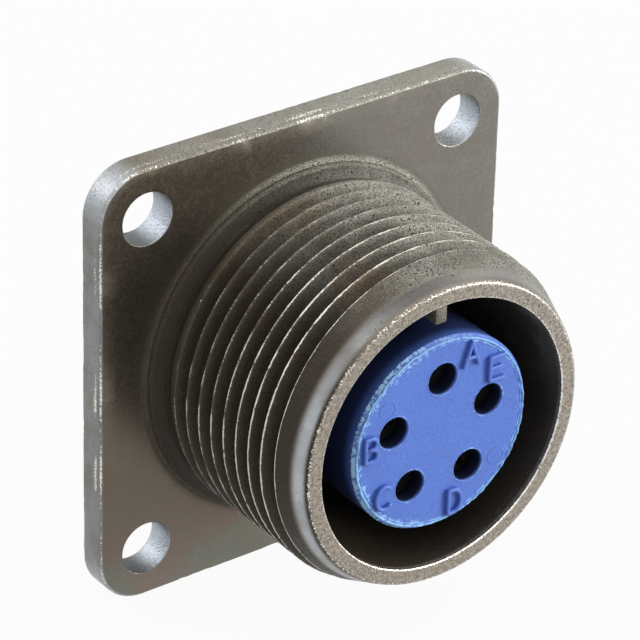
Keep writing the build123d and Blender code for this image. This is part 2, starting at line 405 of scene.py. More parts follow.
def moved_to_edge(distance, gap):
    """Distances with a row moved on to the last groove's edge, and 1 where a row was moved.

    The edge lies where gap turns positive, and the nearer of the rows beside it moves.
    """
    rising = (gap[:-1] < -TOUCHING) & (gap[1:] >= 0)
    share = gap[:-1] / np.where(rising, gap[:-1] - gap[1:], 1)
    place = distance[:-1] + share * (distance[1:] - distance[:-1])
    near = share < 0.5
    moved, edge = distance.copy(), np.zeros(distance.shape)
    for part, here in ((slice(None, -1), rising & near), (slice(1, None), rising & ~near)):
        moved[part][here] = place[here]
        edge[part][here] = 1
    return moved, edge


def thread_surface(s):
    """Radius, distance, angle and finish values of the thread on rows that follow its helix.

    A row's distance is the first crest plus the pitch times (row phase + turns). The
    radius is the smaller of the groove's and the nose taper's.
    """
    angle = np.arange(COLUMNS + 1) * STEP
    turns = (angle - THREAD_START_ANGLE) / (2 * pi)
    first = np.floor((PLAIN_BACK - FIRST_CREST) / s.pitch - turns.max())
    last = np.ceil((PLAIN_FRONT - FIRST_CREST) / s.pitch - turns.min())
    phase = (np.arange(first, last)[:, None] + np.array(ROW_SHARES)).reshape(-1, 1)
    distance = np.clip(FIRST_CREST + s.pitch * (phase + turns), PLAIN_BACK, PLAIN_FRONT)
    gap = groove_cut(distance, angle, turns, s)[0] - nose_radius(distance, s)
    gap = np.where(distance < s.nose_start - s.pitch, -1, gap)
    distance, last_edge = moved_to_edge(distance, gap)
    cut, wave, depth, from_crest = groove_cut(distance, angle, turns, s)
    nose = nose_radius(distance, s)
    behind, before = distance <= PLAIN_BACK, distance >= PLAIN_FRONT
    ends = np.where(behind, s.relief_radius, nose)
    radius = np.where(behind | before, ends, np.minimum(cut, nose))

    forward = (distance - PLAIN_BACK) / (s.nose_start - PLAIN_BACK)
    # Worn crest lines, their brightness partly a painted highlight: brighter towards the front,
    # dimmer at the top and towards the upper right
    wear_and_glint = 0.66 + 0.45 * forward + 0.12 * waves(angle, distance, 12, (1, 40), 9 * MM)
    wear_and_glint = wear_and_glint - 0.2 * np.sin(angle) - 0.16 * bell(angle, *THREAD_DULL)
    wear = bell(from_crest, 0, CREST_LINE) * np.minimum(1, depth + 0.2) * (cut <= nose + TOUCHING)
    # Painted shade on the flanks beside the crests, on the nose's back and top, and in the relief
    flank_shade = smooth(from_crest, *FLANK_DARK) * 0.62 + wave * 0.38
    taper = smooth(distance, s.nose_start, s.nose_start + 0.2 * MM)
    painted_shade = np.where(cut < nose, flank_shade * depth, taper * nose_shade(angle, distance))
    return radius, distance, angle, {
        "wear": np.maximum(wear, last_edge) * wear_and_glint * ~before,
        "hollow": np.maximum(painted_shade, 1 - smooth(distance, *RELIEF_DARK)),
        "polish": nose_front(distance),
        "pale": nose_paleness(angle, distance),
    }


def along(runs, values):
    """One value for each row of a profile's runs: a run has one number, or one per row."""
    return np.concatenate([np.broadcast_to(value, len(run)) for run, value in zip(runs, values)])


def profile_grid(skin, profile, **values):
    """Turn a profile of (radius, distance) rows into a closed ring of columns.

    A value is one number per row, or rows of one number per column.
    """
    radius, distance = np.array(profile, float).T[:, :, None]
    columns = {name: np.reshape(value, (len(profile), -1)) for name, value in values.items()}
    skin.grid(turned_points(radius, distance, RING), closed=True, **columns)


def barrel_foot(skin, flange, s):
    """A turned profile from the flange's face over the collar into the relief.

    It goes up a small hollow to a crease, round the collar's edge and down its step.
    """
    face = flange.thickness
    hollow = rounded(
        (s.foot_radius + s.collar_step, face),
        (s.collar_radius + 0.12 * MM, face + 0.02 * MM),
        (s.collar_radius, face + s.collar_step),
        s.collar_step,
    )
    hollow[0] = (s.foot_radius, face)
    crease = (s.collar_radius - 0.03 * MM, face + s.collar_step + 0.02 * MM)
    band = rounded(
        crease,
        (s.collar_radius - 0.06 * MM, s.collar_front - 0.32 * MM),
        (s.crest_radius - 0.02 * MM, s.collar_front + 0.03 * MM),
        0.34 * MM,
    )
    foot = (s.crest_radius - 0.06 * MM, s.collar_front + 0.05 * MM)
    runs = (hollow, [crease], band, [foot, (s.relief_radius, PLAIN_BACK)])
    # Painted shade in the foot's hollow, at the crease, on the collar's front and in the relief
    painted_shade = along(runs, (FOOT_HOLLOW_SHADE, 1, COLLAR_SHADE, 1))
    shine = np.zeros(len(painted_shade))
    shine[0] = 1
    profile_grid(skin, np.concatenate(runs), hollow=painted_shade, polish=shine)


def rim_profile(s):
    """Profile and finish values from the thread's end over the rim to the mouth's floor.

    Its runs are the taper, the rounded outer edge, the rim's face, the rounded inner
    edge and the mouth's wall.
    """
    taper_end = s.rim - s.rim_edge
    taper = [(nose_radius(d, s), d) for d in np.linspace(PLAIN_FRONT, taper_end - 0.2 * MM, 9)]
    edge = rounded(
        (s.rim_radius, taper_end - 0.1 * MM),
        (s.rim_radius - 0.06 * MM, s.rim),
        (s.rim_radius - 1 * MM, s.rim),
        s.rim_edge,
    )
    inner = s.bore_radius + s.bore_edge
    face = [(r, s.rim) for r in np.linspace(edge[-1][0] - 0.08 * MM, inner + 0.08 * MM, 6)]
    lip = rounded(
        (inner + 1 * MM, s.rim),
        (s.bore_radius, s.rim),
        (s.bore_radius, s.rim - 1 * MM),
        s.bore_edge,
    )
    bore = [(s.bore_radius, d) for d in (s.rim - 0.4 * MM, s.rim - 2 * MM, s.web_front)]
    runs = (taper, edge, face, lip, bore)
    profile = np.concatenate(runs)
    distance = profile[:, 1:]
    on_taper = along(runs, (1, 0, 0, 0, 0))[:, None]
    on_edge = along(runs, (0, 1, 0, 0, 0))[:, None]
    outside = along(runs, (1, 1, 1, 1, 0))[:, None]
    # Painted shade on the outer edge, eased on its lit side, and in the bore; the taper takes the
    # nose's painted shade
    painted_shade = along(runs, (0, RIM_EDGE_SHADE, 0, 0, BORE_SHADE))
    painted_shade[len(taper) - 1] = 0.5
    lit = smooth(np.cos(RING - EDGE_LIT), -0.2, 0.6)
    painted_shade = painted_shade[:, None] * (1 - 0.7 * on_edge * lit)
    return profile, {
        "wear": along(runs, (0, EDGE_WEAR, FACE_WEAR, LIP_WEAR, 0)),
        "hollow": np.maximum(painted_shade, on_taper * nose_shade(RING, distance)),
        "polish": outside * nose_front(distance),
        "pale": on_taper * nose_paleness(RING, distance),
        "burnish": along(runs, (0, EDGE_BURNISH, 1, 1, 0)),
    }


def inner_profile(s):
    """Profile and finish values from the mouth's floor to the flange's back.

    It goes through the web, the rear cavity and its groove, and round the boss.
    """
    back = -s.boss_back
    profile = [
        (s.bore_radius, s.web_front),
        (s.web_hole_radius, s.web_front),
        (s.web_hole_radius, s.web_back),
        (s.cavity_radius, s.web_back),
        (s.cavity_radius, -s.groove_front),
        (s.groove_radius, -s.groove_front),
        (s.groove_radius, -s.groove_back),
        (s.cavity_radius, -s.groove_back),
        (s.cavity_radius, back + 0.1 * MM),
        (s.cavity_radius + 0.1 * MM, back),
        *rounded((s.cavity_radius, back), (s.boss_radius, back), (s.boss_radius, 0), s.boss_edge),
        (s.boss_radius, 0),
    ]
    # Painted shade over the mouth's floor, through the web's hole and at the boss's foot
    painted_shade, shine = np.zeros((2, len(profile)))
    painted_shade[:4] = 1
    painted_shade[-1], shine[-1] = FOOT_SHADE, 1
    return profile, {"hollow": painted_shade, "polish": shine}


# The square flange

CORNER_COLUMN = 35
CORNER_REACH = np.tan(CORNER_COLUMN * STEP)
CORNER_STEPS = (4, 12)
FACE_ROWS = (0, 0.08, 0.3, 0.65, 1)
HOLE_ROWS = (0, 0.06, 0.25, 0.6, 1)
HOLE_WEAR = (0.3, 0.5, 0.3, 0, 0, 0.3, 0.5, 0.3)
HOLE_DRILLED = (0, 0.5, 1, 1, 1, 1, 0.5, 0)
DENT = 0.035 * MM
EDGE_ROWS = 6
# Way in which the holes' walls get a painted reflection, and how far round from it,
# as a share of a radius
HOLE_LIT, HOLE_LIT_WIDTH = (0.88, -0.47), 0.36


def flat_size(flange):
    """Half side and corner radius of the plate's faces, inside its rounded edges."""
    return flange.half_side - flange.edge_radius, flange.corner_radius - flange.edge_radius


def hole_centre(flange):
    """Middle of the hole in the first corner."""
    return np.full(2, flange.half_side - flange.hole_inset)


def corner_arc(flange):
    """Outline of the first corner, as points and their outward directions.

    It goes up the right side, round a quarter circle and along the top.
    """
    half, corner_radius = flat_size(flange)
    straight, arc = CORNER_STEPS
    turn = np.linspace(0, pi / 2, arc + 1)
    outward = np.stack([np.cos(turn), np.sin(turn)], -1)
    middle = half - corner_radius
    up = np.linspace(half * CORNER_REACH, middle, straight + 1)[:-1]
    side = np.stack([np.full(straight, half), up], -1)
    points = np.concatenate([side, middle + corner_radius * outward, side[::-1, ::-1]])
    right, top = (np.tile(way, (straight, 1)) for way in ((1.0, 0.0), (0.0, 1.0)))
    return points, np.concatenate([right, outward, top])


def quarter_turns(points, quarters):
    """Points in the plane turned by a whole number of quarter turns."""
    turn = [(1, 0, 0, 1), (0, -1, 1, 0), (-1, 0, 0, -1), (0, 1, -1, 0)][quarters % 4]
    return points @ np.reshape(turn, (2, 2)).T


def perimeter(flange):
    """The flange's outline, anticlockwise from its right side, as points and outward directions."""
    half, _ = flat_size(flange)
    angles = np.arange(-CORNER_COLUMN + 1, CORNER_COLUMN) * STEP
    side = np.stack([np.full(len(angles), half), half * np.tan(angles)], -1)
    corner, outward = corner_arc(flange)
    points = np.concatenate([side, corner])
    normals = np.concatenate([np.tile((1.0, 0.0), (len(side), 1)), outward])
    return (
        np.concatenate([quarter_turns(flat, quarter) for quarter in range(4)])
        for flat in (points, normals)
    )


def plate_points(flat, distance):
    """Points of a plane across the connector's axis at a distance."""
    return np.stack(np.broadcast_arrays(flat[..., 0], -distance, flat[..., 1]), -1)


def plate_face(skin, inner_radius, distance, flange):
    """One face of the flange.

    Rays run from a circle to the outline or to a corner's patch, and in each patch
    straight lines run from the hole's rim to the patch's border.
    """
    half, _ = flat_size(flange)
    reach = half * CORNER_REACH
    angle = np.arange(-COLUMNS // 8, COLUMNS - COLUMNS // 8 + 1) * STEP
    quarter = (angle + pi / 4) % (pi / 2) - pi / 4
    inside = np.abs(quarter) > (CORNER_COLUMN - 0.5) * STEP
    across = np.maximum(np.sin(np.abs(quarter)), 1e-9)
    end = np.where(inside, reach / across, half / np.cos(quarter))
    radius = inner_radius + (end - inner_radius) * np.array(FACE_ROWS)[:, None]
    # Painted shade where the flange's face meets the barrel or the boss
    painted_shade = bell(radius, inner_radius, 0.3 * MM) * FOOT_SHADE
    skin.grid(turned_points(radius, distance, angle), hollow=painted_shade, polish=1.0)

    rays = np.arange(COLUMNS // 8, CORNER_COLUMN, -1)[1:] * STEP
    low = np.stack([reach / np.tan(rays), np.full(len(rays), reach)], -1)
    inner = np.concatenate([low[::-1], [(reach, reach)], low[:, ::-1]])[::-1]
    border = np.concatenate([corner_arc(flange)[0], [(reach, half)], inner, [(half, reach)]])
    centre = hole_centre(flange)
    away = border - centre
    away /= np.linalg.norm(away, axis=1, keepdims=True)
    rim = centre + away * (flange.hole_radius + flange.hole_easing)
    share = np.array(HOLE_ROWS)[:, None, None]
    ring = rim + (border - rim) * share
    for number in range(4):
        points = plate_points(quarter_turns(ring, number), distance)
        skin.grid(points, wear=0.3 * bell(share[..., 0], 0, 0.05), polish=1.0)
    return rim[:-1]


def hole_walls(skin, rim, flange):
    """Walls of the four holes, their rims rounded: a quarter of an ellipse at each end."""
    centre = hole_centre(flange)
    away = (rim - centre) / np.linalg.norm(rim - centre, axis=1, keepdims=True)
    easing = flange.hole_easing
    turn = np.linspace(0, pi / 2, 4)
    front = [(easing * (1 - np.sin(t)), flange.thickness - easing * (1 - np.cos(t))) for t in turn]
    back = [(wide, flange.thickness - deep) for wide, deep in front[::-1]]
    profile = np.array([*front, *back])
    flat = centre + away * (flange.hole_radius + profile[:, :1, None])
    cut = np.array(HOLE_DRILLED)[:, None]
    for number in range(4):
        # Painted reflection on the wall turned to the light and painted shade on the rest
        lit = bell(quarter_turns(away, number) @ np.array(HOLE_LIT), 1, HOLE_LIT_WIDTH)
        skin.grid(
            plate_points(quarter_turns(flat, number), profile[:, 1:]),
            closed=True,
            wear=np.array(HOLE_WEAR)[:, None],
            drilled=cut * (0.2 + 0.8 * lit),
            hollow=cut * (1 - lit) * 0.8,
            polish=1 - cut,
        )


def plate_edge(skin, flange):
    """The flange's side, its two edges rounded by a quarter circle and dented by a seeded ripple.

    It is worn bright on the rounded edges and, towards the upper left, beside the front one.
    Its side has a painted highlight, strongest at the corners and on the left.
    """
    points, normals = perimeter(flange)
    thickness, edge = flange.thickness, flange.edge_radius
    turn = np.linspace(0, pi / 2, EDGE_ROWS)
    front = [(edge * np.sin(t), thickness - edge * (1 - np.cos(t))) for t in turn]
    middle = [(edge, share * thickness) for share in (0.75, 0.5, 0.25)]
    back = [(out, thickness - far) for out, far in front[::-1]]
    out, far = np.array([*front, *middle, *back]).T[:, :, None]
    place = np.arange(len(points)) * 2 * pi / len(points)
    fine = waves(place, far, 5, (30, 170), 0.6 * MM)
    broad = waves(place, far, 6, (3, 25), 2 * MM)
    corner = np.concatenate([np.sin(2 * turn), np.zeros(len(middle)), np.sin(2 * turn)])[:, None]
    dent = np.clip(0.35 * fine + 0.5 * broad - 0.3, 0, 1.6) * corner * DENT
    right, up = normals.T
    beside = np.repeat([0, 1.05, 0.4, 0], [EDGE_ROWS, 1, 1, EDGE_ROWS + 1])[:, None]
    beside = beside * (0.5 + 0.15 * broad)
    chips = corner * (0.48 + 0.12 * broad - 0.17 * right + 0.06 * (right < -0.5))
    inner = np.ones(out.shape)
    inner[[0, -1]] = 0
    # The side's sheen is a painted highlight, strongest at the corners and on the left
    skin.grid(
        plate_points(
            points + normals * (out - dent)[..., None], far + dent * np.sign(thickness / 2 - far)
        ),
        closed=True,
        wear=np.clip(beside * smooth(up - right, 0.4, 0.9) + chips, 0, 0.85),
        polish=1 - 0.45 * inner,
        pale=(0.12 - 0.42 * np.minimum(right, 0) + 1.5 * np.abs(right * up)) * inner,
    )


# How far the key and the lug reach into the wall beside them and into the web
KEY_ROOT, KEY_TAIL = 0.08 * MM, 0.75 * MM
LUG_ROOT, LUG_TAIL = 0.6 * MM, 0.1 * MM


def rounded_bar(skin, width, low, high, back, front, edge, **values):
    """A closed bar across the key's plane with its lower long edges and its front end rounded.

    Its section runs up one side, over the rounded bottom and up the other; towards
    the front the section shrinks along a quarter circle.
    """
    half = width / 2
    turn = np.linspace(0, pi / 2, 5)
    left = np.stack([-half + edge * (1 - np.cos(turn)), low + edge * (1 - np.sin(turn))], -1)
    section = np.concatenate([[(-half, high)], left, left[::-1] * (-1, 1), [(half, high)]])
    ends = np.concatenate([[0, 0], edge * (1 - np.cos(turn))])
    places = np.concatenate([[back, (back + front) / 2], front - edge + edge * np.sin(turn)])
    middle = np.array([0, high])
    rings = []
    for shrink, place in zip(ends, places):
        size = np.array([1 - shrink / half, 1 - shrink / (high - low)])
        rings.append(plate_points(middle + (section - middle) * size, place))
    skin.tube(np.array(rings), **values)


class RECEPTACLE_OT_shell(bpy.types.Operator):
    """Make the metal shell: flange, threaded barrel, key and rear boss"""

    bl_idname = "receptacle.shell"
    bl_label = "Shell"

    def execute(self, context):
        flange, s = context.scene.receptacle_flange, context.scene.receptacle_barrel
        keys = context.scene.receptacle_keys
        skin = Patchwork(*SHELL_VALUES)
        radius, distance, angle, values = thread_surface(s)
        skin.grid(turned_points(radius, distance, angle), **values)
        barrel_foot(skin, flange, s)
        profile, values = rim_profile(s)
        profile_grid(skin, profile, **values)
        profile, values = inner_profile(s)
        profile_grid(skin, profile, **values)
        plate_face(skin, s.foot_radius, flange.thickness, flange)
        hole_walls(skin, plate_face(skin, s.boss_radius, 0, flange), flange)
        plate_edge(skin, flange)
        rounded_bar(
            skin, keys.key_width, s.bore_radius - keys.key_height, s.bore_radius + KEY_ROOT,
            s.web_front - KEY_TAIL, s.rim - keys.key_setback, keys.key_round, wear=0.45,
        )
        rounded_bar(
            skin, keys.lug_width, s.cavity_radius - keys.lug_height, s.cavity_radius + LUG_ROOT,
            keys.lug_back, s.web_back + LUG_TAIL, keys.key_round, wear=0.1,
        )
        piece = skin.piece("receptacle_shell")
        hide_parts("shell")
        piece.data.materials.append(plated_finish(context.scene.receptacle_colours))
        return {"FINISHED"}


# Raised marks on the insulator's face

ARC_STEPS = 14


def bow(centre, radii, start, end):
    """Points of part of an ellipse, its angles in degrees."""
    turn = np.radians(np.linspace(start, end, ARC_STEPS))
    return (np.array(centre) + np.array(radii) * np.stack([np.cos(turn), np.sin(turn)], -1)).tolist()


LETTER_STROKES = {
    "a": [[(0, 0), (0.5, 1), (1, 0)], [(0.2, 0.34), (0.8, 0.34)]],
    "b": [
        [(0, 0), (0, 1), (0.5, 1), *bow((0.5, 0.76), (0.42, 0.24), 90, -90), (0, 0.52)],
        [(0, 0.52), (0.55, 0.52), *bow((0.55, 0.26), (0.45, 0.26), 90, -90), (0, 0)],
    ],
    "c": [bow((0.55, 0.5), (0.52, 0.5), 48, 312)],
    "d": [[(0, 0), (0, 1), (0.4, 1), *bow((0.4, 0.5), (0.58, 0.5), 90, -90), (0, 0)]],
    "e": [[(1, 1), (0, 1), (0, 0), (1, 0)], [(0, 0.52), (0.8, 0.52)]],
}
# Middle of each letter and its width, beside the contact that it marks
LETTER_PLACES = {
    "a": (2.0 * MM, 4.85 * MM, 1.35 * MM),
    "b": (-5.22 * MM, 0.62 * MM, 1.15 * MM),
    "c": (-4.19 * MM, -3.08 * MM, 1.45 * MM),
    "d": (1.18 * MM, -5.08 * MM, 1.25 * MM),
    "e": (3.94 * MM, 3.28 * MM, 1.3 * MM),
}
STROKE_STEP = 0.07 * MM
STROKE_SQUARENESS = 0.32
# Power that keeps the painted shade to a stroke's sides
STROKE_SIDE = 10
# Heights of the two corners of an underside, as a share of the mark's own height
STROKE_UNDERSIDE = [-0.25, -0.25]
RING_UNDERSIDE = [-0.3, -0.3]

# Fine moulded rings: half width, height, roughness and paleness of each kind
OUTER_RING = (0.07 * MM, 0.05 * MM, 0.9, 1.0)
INNER_RING = (0.05 * MM, 0.02 * MM, 1.2, 0.7)
ENTRY_RING = (0.045 * MM, 0.022 * MM, 0.5, 0.5)
EJECTOR_RING = (0.04 * MM, 0.025 * MM, 0.4, 0.2)
OUTER_INSET = 0.24 * MM
INNER_INSET = 0.41 * MM
ENTRY_MARGIN = 0.06 * MM
EJECTOR_PLACES = ((-4.02 * MM, 2.88 * MM, 0.55 * MM), (4.27 * MM, -3.04 * MM, 0.57 * MM))


def resampled(path, step):
    """The same path at even steps of its length, its corners kept within a step."""
    path = np.array(path, float)
    run = np.concatenate([[0], np.cumsum(np.linalg.norm(np.diff(path, axis=0), axis=1))])
    even = np.linspace(0, run[-1], max(3, int(run[-1] / step)))
    return np.stack([np.interp(even, run, path[:, axis]) for axis in (0, 1)], -1)


def stroke(skin, path, width, height, base):
    """A raised stroke with round ends.

    Its section is a squared half ellipse, width across and height proud of the base,
    with a flat underside sunk in the face. It is carried along the path, and over the
    half width past each end it shrinks as the square root of 1 less the squared share.
    """
    path = resampled(path, STROKE_STEP)
    ahead = np.gradient(path, axis=0)
    ahead /= np.linalg.norm(ahead, axis=1, keepdims=True)
    cap = np.sin(np.linspace(0, pi / 2, 5))[1:]
    start = path[0] - ahead[0] * cap[::-1, None] * width / 2
    end = path[-1] + ahead[-1] * cap[:, None] * width / 2
    centres = np.concatenate([start, path, end])
    first, last = (np.tile(way, (len(cap), 1)) for way in (ahead[0], ahead[-1]))
    ahead = np.concatenate([first, ahead, last])
    size = np.sqrt(np.clip(1 - cap ** 2, 0.0025, 1))
    sizes = np.concatenate([size[::-1], np.ones(len(path)), size])
    turn = np.linspace(-pi / 2, pi / 2, 11)
    across = np.append(np.sin(turn), [1.0, -1.0])
    proud = np.append(np.abs(np.cos(turn)) ** STROKE_SQUARENESS, STROKE_UNDERSIDE)
    sideways = np.stack([-ahead[:, 1], ahead[:, 0]], -1)
    out = (across * width / 2)[:, None] * sizes[:, None, None]
    flat = centres[:, None] + sideways[:, None] * out
    points = plate_points(flat, base + proud * height * sizes[:, None])
    # Painted shade on the stroke's sides
    skin.tube(points, side=np.abs(across) ** STROKE_SIDE)


def bead(skin, centre, radius, base, seed, kind):
    """A fine raised ring.

    Half an ellipse, with its underside sunk in the face, is carried round a circle,
    and its height is roughened by a seeded ripple.
    """
    half_width, height, rough, flash = kind
    angle = np.arange(COLUMNS // 2) * 2 * STEP
    turn = np.linspace(0, pi, 7)
    ripple = np.clip(1 + rough * waves(angle, 0.0, seed, (8, 90), 1 * MM), 0.15, 2.4)
    across = np.append(-np.cos(turn), [1.0, -1.0])[:, None]
    proud = np.append(np.sin(turn), RING_UNDERSIDE)[:, None] * np.ones_like(angle)
    proud = np.where(proud > 0, proud * ripple, proud)
    reach = radius + across * half_width
    flat = np.stack([centre[0] + reach * np.cos(angle), centre[1] + reach * np.sin(angle)], -1)
    points = plate_points(flat, base + proud * height)
    skin.grid(np.concatenate([points, points[:1]]), closed=True, flash=flash)


class RECEPTACLE_OT_marks(bpy.types.Operator):
    """Make the position letters and the moulding lines on the insulator's face"""

    bl_idname = "receptacle.marks"
    bl_label = "Face marks"

    def execute(self, context):
        s = context.scene.receptacle_marks
        skin = Patchwork("flash", "side")
        for letter, (x, z, width) in LETTER_PLACES.items():
            size = np.array([width - s.stroke, s.letter_height - s.stroke])
            for path in LETTER_STROKES[letter]:
                place = np.array([x, z]) + (np.array(path) - 0.5) * size
                stroke(skin, place, s.stroke, s.relief, s.face)
        bead(skin, (0, 0), s.radius - OUTER_INSET, s.face, 21, OUTER_RING)
        bead(skin, (0, 0), s.radius - INNER_INSET, s.face, 22, INNER_RING)
        for number, place in enumerate(CONTACT_PLACES):
            bead(skin, place, s.entry_radius + ENTRY_MARGIN, s.face, 30 + number, ENTRY_RING)
        for number, (x, z, radius) in enumerate(EJECTOR_PLACES):
            bead(skin, (x, z), radius, s.face, 40 + number, EJECTOR_RING)
        piece = skin.piece("face_marks", sharp=radians(50))
        colours = context.scene.receptacle_colours
        piece.data.materials.append(plastic_finish(colours, "marks_plastic", "marks"))
        return {"FINISHED"}


# Shader maths and finishes


class Signal:
    """One output of a shader node. Arithmetic on it adds Math nodes to the same finish."""

    def __init__(self, finish, socket):
        self.finish, self.socket = finish, socket

    def maths(self, operation, *values):
        """Add a Math node with its values in order."""
        return self.finish.node("ShaderNodeMath", {"operation": operation}, dict(enumerate(values)))

    def __add__(self, other):
        return self.maths("ADD", self, other)

    def __sub__(self, other):
        return self.maths("SUBTRACT", self, other)

    def __rsub__(self, other):
        return self.maths("SUBTRACT", other, self)

    def __mul__(self, other):
        return self.maths("MULTIPLY", self, other)

    def __pow__(self, other):
        return self.maths("POWER", self, other)

    def __rpow__(self, other):
        return self.maths("POWER", other, self)

    __radd__ = __add__
    __rmul__ = __mul__


class Finish:
    """The nodes of a material or of the world, all of them added by one method."""

    def __init__(self, owner):
        self.owner = owner
        owner.use_nodes = True
        self.tree = owner.node_tree
        self.tree.nodes.clear()

    @classmethod
    def named(cls, name, shade):
        """A new material, with its colour in solid view."""
        material = bpy.data.materials.new(name)
        material.diffuse_color = (*shade, 1)
        return cls(material)

    def node(self, kind, settings=None, inputs=None, output=0):
        """Add a node: its settings first, then its sockets' values or links. Returns an output."""
        made = self.tree.nodes.new(kind)
        for key, value in (settings or {}).items():
            setattr(made, key, value)
        for key, value in (inputs or {}).items():
            if isinstance(value, Signal):
                self.tree.links.new(value.socket, made.inputs[key])
            else:
                made.inputs[key].default_value = value
        return Signal(self, made.outputs[output] if made.outputs else None)

    def place(self):
        """The point in the object's own coordinates."""
        return self.node("ShaderNodeTexCoord", output="Object")

    def mapped(self, setting, amounts):
        """The object's own coordinates moved or scaled, as the setting says."""
        return self.node("ShaderNodeMapping", None, {"Vector": self.place(), setting: amounts})

    def value(self, name):
        """A value kept at the mesh's points."""
        return self.node("ShaderNodeAttribute", {"attribute_name": name}, output="Fac")

    def noise(self, scale, detail=3.0, roughness=0.55, vector=None):
        """Soft noise, from 0 to 1."""
        inputs = {"Vector": vector or self.place(), "Scale": scale}
        inputs.update({"Detail": detail, "Roughness": roughness})
        return self.node("ShaderNodeTexNoise", None, inputs)

    def axes(self):
        """The object's own X, Y and Z as three numbers."""
        inputs = {"Vector": self.place()}
        return (self.node("ShaderNodeSeparateXYZ", None, inputs, axis) for axis in "XYZ")

    def step(self, value, low, high):
        """0 below low and 1 above high, smooth in between."""
        inputs = {"Value": value, "From Min": low, "From Max": high}
        return self.node("ShaderNodeMapRange", {"interpolation_type": "SMOOTHSTEP"}, inputs)

    def span(self, value, low, high):
        """A step over a distance, its ends in millimetres."""
        return self.step(value, low * MM, high * MM)

    def mix(self, share, first, second, blend="MIX"):
        """Two colours mixed, or blended as the last word says, as far as the share goes."""
        inputs = {"Factor": share, 6: first, 7: second}
        settings = {"data_type": "RGBA", "blend_type": blend}
        return self.node("ShaderNodeMix", settings, inputs, output=2)

    def tint(self, share, shade, factor):
        """A colour multiplied by another, as far as the share says."""
        return self.mix(share, shade, factor, "MULTIPLY")

    def bump(self, height, distance, strength=1.0):
        """A normal tilted by the slope of a height."""
        inputs = {"Height": height, "Distance": distance, "Strength": strength}
        return self.node("ShaderNodeBump", None, inputs)

    def surface(self, **inputs):
        """A surface shader with the inputs that are named, and the finish's end."""
        named = {key.replace("_", " "): value for key, value in inputs.items()}
        return self.end(self.node("ShaderNodeBsdfPrincipled", None, named))

    def white_where_seen(self, shader, share, white):
        """End in a shader that turns to white light where it is seen.

        That is for rays from the camera, from shiny surfaces and through glass.
        """
        camera, shiny, through = (
            self.node("ShaderNodeLightPath", output=f"Is {kind} Ray")
            for kind in ("Camera", "Glossy", "Transmission")
        )
        seen = camera.maths("MAXIMUM", camera, camera.maths("MAXIMUM", shiny, through)) * share
        return self.end(self.node("ShaderNodeMixShader", None, {0: seen, 1: shader, 2: white}))

    def end(self, shader):
        """Join a shader to the material's or the world's output."""
        kind = "World" if isinstance(self.owner, bpy.types.World) else "Material"
        self.node(f"ShaderNodeOutput{kind}", None, {"Surface": shader})
        return self.owner


def opaque(shade):
    """A colour property as a socket's value."""
    return (*shade, 1.0)


# Further shades of the plating, linear; the shade, top light and sheen ones are
# painted shade and light
OLIVE_PATCH = (0.155, 0.165, 0.13, 1)
MACHINED = (0.25, 0.24, 0.225, 1)
BROWN_STAIN = (0.2, 0.13, 0.105, 1)
GREEN_STAIN = (0.135, 0.165, 0.125, 1)
BLUISH_GREY = (0.24, 0.265, 0.29, 1)
PAINTED_SHADE = (0.024, 0.018, 0.012, 1)
PAINTED_TOP_LIGHT = (0.295, 0.295, 0.258, 1)
PAINTED_SHEEN_GREY = (0.43, 0.455, 0.48, 1)
RIM_BROWN = (0.17, 0.137, 0.104, 1)
RIM_GOLD = (0.51, 0.465, 0.4, 1)
PIT = (0.012, 0.01, 0.008, 1)
# Factors on the plating's shade; the first two are painted shade on the left side
LEFT_SHADE = (0.72, 0.64, 0.54, 1)
CAST_LEFT_SHADE = (0.74, 0.74, 0.72, 1)
PLATE_SIDE = (0.97, 1.02, 0.86, 1)
RUST = (1.45, 0.98, 0.75, 1)
SPECKLES = ((0.4, 0.4, 0.38, 1), (1.7, 1.7, 1.65, 1))
# Scale of the noise across the turned lines and along them
TURNED_FINE, TURNED_LONG = 9000, 120


